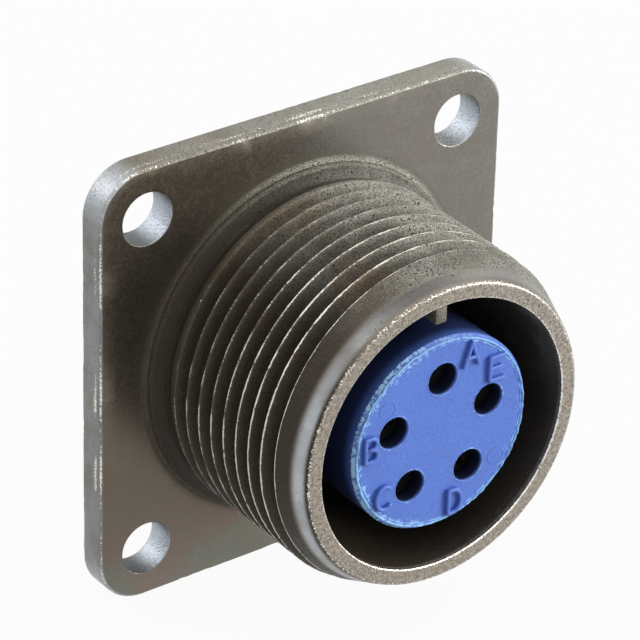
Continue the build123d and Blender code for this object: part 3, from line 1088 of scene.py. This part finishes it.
def plated_finish(c):
    """Olive plating over metal.

    Noise of several sizes makes warm and grey patches, turning lines, speckles and
    pits. The values at the points say where the metal has painted shade, a painted
    sheen or bare worn edges, and steps along the axes keep a stain, painted shade on
    the left or painted light above to its side of the part.
    """
    f = Finish.named("olive_plating", c.plating)
    wear, hollow, drilled, polish, pale, burnish = (f.value(name) for name in SHELL_VALUES)
    x, y, z = f.axes()
    radius = (x * x + z * z) ** 0.5
    ring = {"X": radius * TURNED_FINE, "Y": y * TURNED_FINE, "Z": x * TURNED_LONG}
    turning = f.noise(1.0, 2.0, 0.6, f.node("ShaderNodeCombineXYZ", None, ring))
    shifted = f.mapped("Location", (0.3, 0.1, 0.2))
    broad = f.noise(90.0)
    other = f.noise(140.0, 2.0, 0.5, shifted)
    middle = f.noise(420.0, 4.0)
    mottle = f.noise(1500.0, 3.0, 0.6, shifted)
    fine = f.noise(4200.0, 3.0, 0.7)
    grain = (f.noise(9500.0, 2.0, 0.6) - 0.5) * 2
    grit = f.noise(11500.0, 2.0, 0.7, shifted)
    cast = 1 - polish
    # Towards the upper right, where painted light from above makes the metal paler and more speckled
    upper = f.span(z + x * 0.55, 3, 11)
    foot = f.span(y, -4.1, -3.7) * f.span(y, -1.8, -2.05)

    # The plating and its patches
    shade = f.mix(f.step(broad, 0.42, 0.66) * 0.8, opaque(c.plating), opaque(c.plating_brown))
    shade = f.mix(f.step(other, 0.5, 0.7) * 0.5, shade, OLIVE_PATCH)
    shade = f.mix(f.step(middle, 0.5, 0.75) * 0.3, shade, opaque(c.plating_grey))
    shade = f.mix(f.step(fine, 0.42, 0.75) * 0.4, shade, opaque(c.plating_grey))
    shade = f.mix(f.step(polish, 0.4, 0.95) * 0.45, shade, MACHINED)
    stain = f.mix(f.step(f.noise(210.0, 4.0, 0.6), 0.38, 0.64), BROWN_STAIN, GREEN_STAIN)
    shade = f.mix(f.span(z, -2, -12) * polish * 0.45, shade, stain)
    shade = f.mix(f.step(mottle, 0.5, 0.7) * cast * 0.5, shade, BLUISH_GREY)
    # Painted shade on the left side: browner, fading out towards the bottom, and darker on the cast
    # metal
    left_shade = f.span(x, 7, -7) * f.span(z, -16, -5) * (0.85 + cast * 0.3)
    shade = f.tint(left_shade, shade, LEFT_SHADE)
    shade = f.tint(f.span(x, 3, -6) * cast, shade, CAST_LEFT_SHADE)
    shade = f.tint(cast * f.span(y, -2.05, -1.9) * f.span(z + x, -6, 2), shade, PLATE_SIDE)

    # Painted shade in the hollows, painted light from above that makes the metal paler,
    # and rust at the top left
    shade = f.mix(f.step(hollow + (fine - 0.5) * 0.5, 0.1, 1.0) * 0.88, shade, PAINTED_SHADE)
    kept = 1 - foot * f.step(hollow, 0.5, 0.85) * (0.5 + f.span(x, 4, -1) * 0.4)
    shade = f.mix(upper * cast * kept * (0.25 + f.step(middle, 0.3, 0.7) * 0.4), shade, PAINTED_TOP_LIGHT)
    rust = f.span(z, 4, 9) * f.span(x, 1, -4) * f.span(x, -9, -5.5) * f.step(other, 0.47, 0.6)
    rust = rust * cast * (1 - foot) * (0.25 + f.span(y, -13.9, -13.2) * 0.75)
    shade = f.tint(rust * 0.55, shade, RUST)
    speckle = f.mix(f.step(grit, 0.36, 0.64), *SPECKLES)
    shade = f.tint(0.12 + cast * (0.2 + upper * 0.6), shade, speckle)

    # The painted sheen on the nose's band and the flange's side, the rim, pits, the
    # holes' cut walls with their painted reflection, and bare edges
    shade = f.mix(pale * (0.45 + f.step(middle, 0.25, 0.7) * 0.55), shade, PAINTED_SHEEN_GREY)
    rubbed = f.step(grain * 0.5 + (fine - 0.5) * 1.4, -0.45, 0.45)
    shade = f.mix(burnish * 0.8, shade, f.mix(rubbed, RIM_BROWN, RIM_GOLD))
    spots = f.noise(6500.0, 2.0, 0.5) + (middle - 0.5) * 0.3 + upper * cast * 0.07
    pit = f.step(spots, 0.7, 0.75)
    shade = f.mix(pit * 0.9, shade, PIT)
    ragged = grain * (0.5 + upper * 0.25 + polish * 0.35) + (mottle - 0.5) * 0.4
    edge = f.step(wear + ragged, 0.6, 0.82) * f.step(wear, 0.1, 0.4)
    shade = f.mix(drilled * (0.45 + fine), shade, opaque(c.drilled))
    shade = f.mix(edge, shade, opaque(c.bare))

    relief = ((turning - 0.5) * 0.5 + (fine - 0.5) * 1.8 + grain * 0.6) * (1 - polish * 0.8)
    relief = relief - pit * 1.2 + (grain + fine) * burnish * 0.4
    return f.surface(
        Base_Color=shade,
        Metallic=0.1 + polish * 0.75 + edge * 0.3 + drilled * 0.7 - hollow * polish * 0.5,
        Roughness=0.46 - polish * 0.12 + (fine - 0.5) * 0.25 - edge * 0.08 + pit * 0.2,
        Specular_IOR_Level=0.2,
        Normal=f.bump(relief, 0.04 * MM, 0.7),
    )


# Further shades of the plastic and of the sockets' mouths, linear; the dark ones for
# the marks' sides, behind the face, in the entries and in the sockets are painted shade
PLASTIC_PALE = (0.11, 0.23, 0.74, 1)
PLASTIC_SPECK = (0.12, 0.26, 0.8, 1)
PLASTIC_DARK_SPECK = (0.045, 0.1, 0.4, 1)
MARK_SIDE_SHADE = (0.015, 0.035, 0.2, 1)
MARK_FLASH = (0.3, 0.62, 0.95, 1)
EDGE_FLASH = (0.42, 0.72, 1.0, 1)
PLASTIC_BEHIND_SHADE = (0.012, 0.015, 0.05, 1)
ENTRY_SHADE = (0.004, 0.004, 0.008, 1)
SOCKET_SHADE = (0.003, 0.003, 0.004, 1)


def plastic_finish(c, name, part=None):
    """Blue moulded plastic: slight mottle and matt.

    The raised marks have light blue flash and painted shade on their sides. The front
    insulator has flash round its face's edge, and painted shade behind the face and
    in its five entries.
    """
    f = Finish.named(name, c.plastic)
    fine = f.noise(5200.0, 2.0, 0.6)
    broad = f.noise(260.0)
    shade = f.mix(f.step(broad, 0.35, 0.7) * 0.25, opaque(c.plastic), PLASTIC_PALE)
    shade = f.mix(f.step(fine, 0.5, 0.75) * 0.4, shade, PLASTIC_SPECK)
    specks = f.step(f.noise(7500.0, 2.0, 0.6), 0.5, 0.3)
    shade = f.mix(specks * 0.5, shade, PLASTIC_DARK_SPECK)
    relief = (fine - 0.5) + (broad - 0.5) * 2
    if part == "marks":
        # Painted shade on the marks' sides
        shade = f.mix(f.value("side") * 0.45, shade, MARK_SIDE_SHADE)
        flash = f.step(f.value("flash") * 0.4 + f.noise(2600.0, 2.0, 0.6), 0.7, 0.9)
        shade = f.mix(flash * 0.7, shade, MARK_FLASH)
    if part == "front":
        x, y, z = f.axes()
        behind = y - INSERT_LOW.y
        radius = (x * x + z * z) ** 0.5
        ragged = f.noise(3600.0, 2.0, 0.6)
        left = 0.25 + f.span(x, 2, -4) * 0.75
        lip = f.span(radius + (broad - 0.5) * 1.2 * MM, 5.5, 6.2) * left * f.span(behind, 0.4, 0.2)
        flash = lip * f.step(ragged + lip * 0.14, 0.56, 0.64)
        shade = f.mix(flash * 0.85, shade, EDGE_FLASH)
        relief = relief + flash * 5 + lip * (ragged - 0.5) * 8
        # Painted shade on the insulator's side behind its face
        shade = f.mix(f.span(behind, 0.15, 1.2) * 0.88, shade, PLASTIC_BEHIND_SHADE)
        flat = f.node("ShaderNodeCombineXYZ", None, {"X": x, "Z": z})
        near = None
        for place_x, place_z in CONTACT_PLACES:
            ends = {0: flat, 1: (place_x, 0, place_z)}
            away = f.node("ShaderNodeVectorMath", {"operation": "DISTANCE"}, ends, "Value")
            near = away if near is None else near.maths("MINIMUM", near, away)
        # Painted shade in the five entries
        inside = f.span(near, 1.5, 1.4) * f.span(behind, 0.03, 0.25)
        shade = f.mix(inside * 0.94, shade, ENTRY_SHADE)
    return f.surface(
        Base_Color=shade,
        Roughness=0.42 + (fine - 0.5) * 0.2,
        Normal=f.bump(relief, 0.006 * MM, 0.5),
    )


def metal_finish(name, shade, roughness, scale, shaded_front=False):
    """Bright metal with drawn lines along the connector and faint tarnish.

    Where it is asked for, the metal is painted black as shade in the mouths of the sockets.
    """
    f = Finish.named(name, shade)
    lines = f.noise(scale, 3.0, 0.6, f.mapped("Scale", (1.0, 0.06, 1.0)))
    tarnish = f.noise(700.0, 4.0)
    dark = tuple(part * 0.55 for part in shade)
    metal = f.mix(f.step(tarnish, 0.45, 0.75) * 0.5, opaque(shade), opaque(dark))
    metallic, rough = 1.0, roughness + (lines - 0.5) * 0.2 + (tarnish - 0.5) * 0.15
    if shaded_front:
        _, y, _ = f.axes()
        # Painted shade towards the mouths of the sockets
        inside = f.span(y - CONTACTS[0][0].y, 3, 1)
        metal = f.mix(inside, metal, SOCKET_SHADE)
        metallic, rough = 1 - inside, rough + inside * 0.6
    return f.surface(
        Base_Color=metal,
        Metallic=metallic,
        Roughness=rough,
        Normal=f.bump(lines, 0.004 * MM, 0.5),
    )


def dress(node, material):
    """Give a CAD node its finish, on the slots that it has."""
    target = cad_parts[node]
    if not target.material_slots:
        target.data.materials.append(material)
    for place in target.material_slots:
        place.material = material


class RECEPTACLE_OT_fittings(bpy.types.Operator):
    """Give the insulators, contacts, sleeves, washer and ring their finishes"""

    bl_idname = "receptacle.fittings"
    bl_label = "Fittings"

    def execute(self, context):
        c = context.scene.receptacle_colours
        silver = metal_finish("silvered_contact", tuple(c.silver), 0.3, 5000.0, shaded_front=True)
        shaded_sleeve = metal_finish("shaded_sleeve_steel", tuple(c.shaded_sleeve), 0.42, 6000.0, shaded_front=True)
        washer = metal_finish("washer_steel", tuple(part * 0.9 for part in c.steel), 0.36, 3000.0)
        spring = metal_finish("spring_steel", tuple(part * 0.6 for part in c.steel), 0.34, 2400.0)
        dress("front_insulator", plastic_finish(c, "front_plastic", "front"))
        dress("rear_insulator", plastic_finish(c, "rear_plastic"))
        dress("backing_washer", washer)
        dress("retaining_ring", spring)
        for letter in "abcde":
            dress(f"socket_contact_{letter}", silver)
            dress(f"contact_hood_{letter}", shaded_sleeve)
        return {"FINISHED"}


# Stage, lamps and camera

FLOOR_SIZE = 6.0
SENSOR_WIDTH = 36.0
CLIPPING = (0.01, 20.0)
WHITE = (1.0, 1.0, 1.0, 1.0)
LAMPS = (
    # name, place, size, watts
    ("key", (0.66, -0.52, 0.08), 0.4, 7.5),
    ("top", (0.2, -0.05, 0.8), 2.0, 12.0),
    ("back", (-0.45, 0.62, 0.47), 0.3, 1.8),
)


def camera_axes(s):
    """The camera's right, up and back directions and its place.

    The directions are turned by azimuth and elevation, then rolled about the last.
    """
    a, e, r = s.azimuth, s.elevation, s.roll
    back = np.array([np.sin(a) * np.cos(e), -np.cos(a) * np.cos(e), np.sin(e)])
    right = np.array([np.cos(a), np.sin(a), 0.0])
    up = np.cross(back, right)
    place = back * s.distance + right * s.slide + up * s.lift
    return right * np.cos(r) + up * np.sin(r), up * np.cos(r) - right * np.sin(r), back, place


def white_paper(name):
    """White paper that keeps a soft shadow: a matt surface, seen mostly as white light."""
    f = Finish.named(name, (0.9, 0.9, 0.9))
    inputs = {"Base Color": (0.5, 0.5, 0.5, 1), "Roughness": 1.0, "Specular IOR Level": 0.0}
    paper = f.node("ShaderNodeBsdfPrincipled", None, inputs)
    white = f.node("ShaderNodeEmission", None, {"Color": WHITE, "Strength": 1.0})
    return f.white_where_seen(paper, 0.95, white)


def white_studio(name):
    """A studio that lights matt surfaces softly and is seen as white."""
    f = Finish(bpy.data.worlds.new(name))
    soft, bright = (
        f.node("ShaderNodeBackground", None, {"Color": WHITE, "Strength": level})
        for level in (0.2, 1.0)
    )
    return f.white_where_seen(soft, 1.0, bright)


class RECEPTACLE_OT_stage(bpy.types.Operator):
    """Lay the floor, hang the lamps and set the camera"""

    bl_idname = "receptacle.stage"
    bl_label = "Stage"

    def execute(self, context):
        s = context.scene.receptacle_stage
        scene = context.scene
        scene.view_settings.view_transform = "Standard"
        side = np.array([-0.5, 0.5]) * FLOOR_SIZE
        corner_x, corner_y = np.meshgrid(side, side)
        level = np.full_like(corner_x, SHELL_LOW.z - s.drop)
        corners = np.stack([corner_x, corner_y, level], -1).reshape(-1, 3)
        mesh = bpy.data.meshes.new("floor")
        mesh.from_pydata(corners.tolist(), [], [(0, 1, 3, 2)])
        mesh.materials.append(white_paper("floor_paper"))
        floor = bpy.data.objects.new("floor", mesh)
        scene.collection.objects.link(floor)
        for name, place, size, watts in LAMPS:
            lamp = bpy.data.lights.new(name, "AREA")
            lamp.shape, lamp.size, lamp.energy = "DISK", size, watts
            made = bpy.data.objects.new(name, lamp)
            scene.collection.objects.link(made)
            back = np.array(place) / np.linalg.norm(place)
            right = np.cross((0.0, 0.0, 1.0), back)
            right = right / np.linalg.norm(right)
            made.matrix_world = axes_matrix(right, np.cross(back, right), back, np.array(place))
        scene.world = white_studio("studio")
        right, up, back, place = camera_axes(s)
        data = bpy.data.cameras.new("camera")
        data.lens, data.sensor_width = s.focal_length, SENSOR_WIDTH
        data.clip_start, data.clip_end = CLIPPING
        camera = bpy.data.objects.new("camera", data)
        scene.collection.objects.link(camera)
        camera.matrix_world = axes_matrix(right, up, back, place)
        scene.camera = camera
        return {"FINISHED"}


def axes_matrix(right, up, back, place):
    """A matrix whose columns are three directions and a place."""
    columns = [(*right, 0), (*up, 0), (*back, 0), (*place, 1)]
    return Matrix([[float(column[row]) for column in columns] for row in range(4)])


class RECEPTACLE_PT_tools(bpy.types.Panel):
    """Lists the receptacle's pieces and their sizes"""

    bl_idname = "RECEPTACLE_PT_tools"
    bl_label = "Receptacle"
    bl_space_type = "VIEW_3D"
    bl_region_type = "UI"
    bl_category = "Receptacle"

    def draw(self, context):
        for operator in OPERATORS:
            self.layout.operator(operator.bl_idname)
        for name in GROUPS:
            group = getattr(context.scene, name)
            box = self.layout.box()
            for key in group.__annotations__:
                box.prop(group, key)


GROUPS = {
    "receptacle_flange": FlangeSizes,
    "receptacle_barrel": BarrelSizes,
    "receptacle_keys": KeySizes,
    "receptacle_marks": MarkSizes,
    "receptacle_stage": StageSizes,
    "receptacle_colours": FinishColours,
}
OPERATORS = (RECEPTACLE_OT_shell, RECEPTACLE_OT_marks, RECEPTACLE_OT_fittings, RECEPTACLE_OT_stage)


def register():
    """Add the classes and hang their sizes on the scene."""
    for made in (*GROUPS.values(), *OPERATORS, RECEPTACLE_PT_tools):
        bpy.utils.register_class(made)
    for name, group in GROUPS.items():
        setattr(bpy.types.Scene, name, PointerProperty(type=group))


def unregister():
    """Take the classes and their sizes away again."""
    for name in GROUPS:
        delattr(bpy.types.Scene, name)
    for made in (RECEPTACLE_PT_tools, *OPERATORS[::-1], *list(GROUPS.values())[::-1]):
        bpy.utils.unregister_class(made)


def main():
    register()
    bpy.ops.receptacle.shell()
    bpy.ops.receptacle.marks()
    bpy.ops.receptacle.fittings()
    bpy.ops.receptacle.stage()


if __name__ == "__main__":
    main()
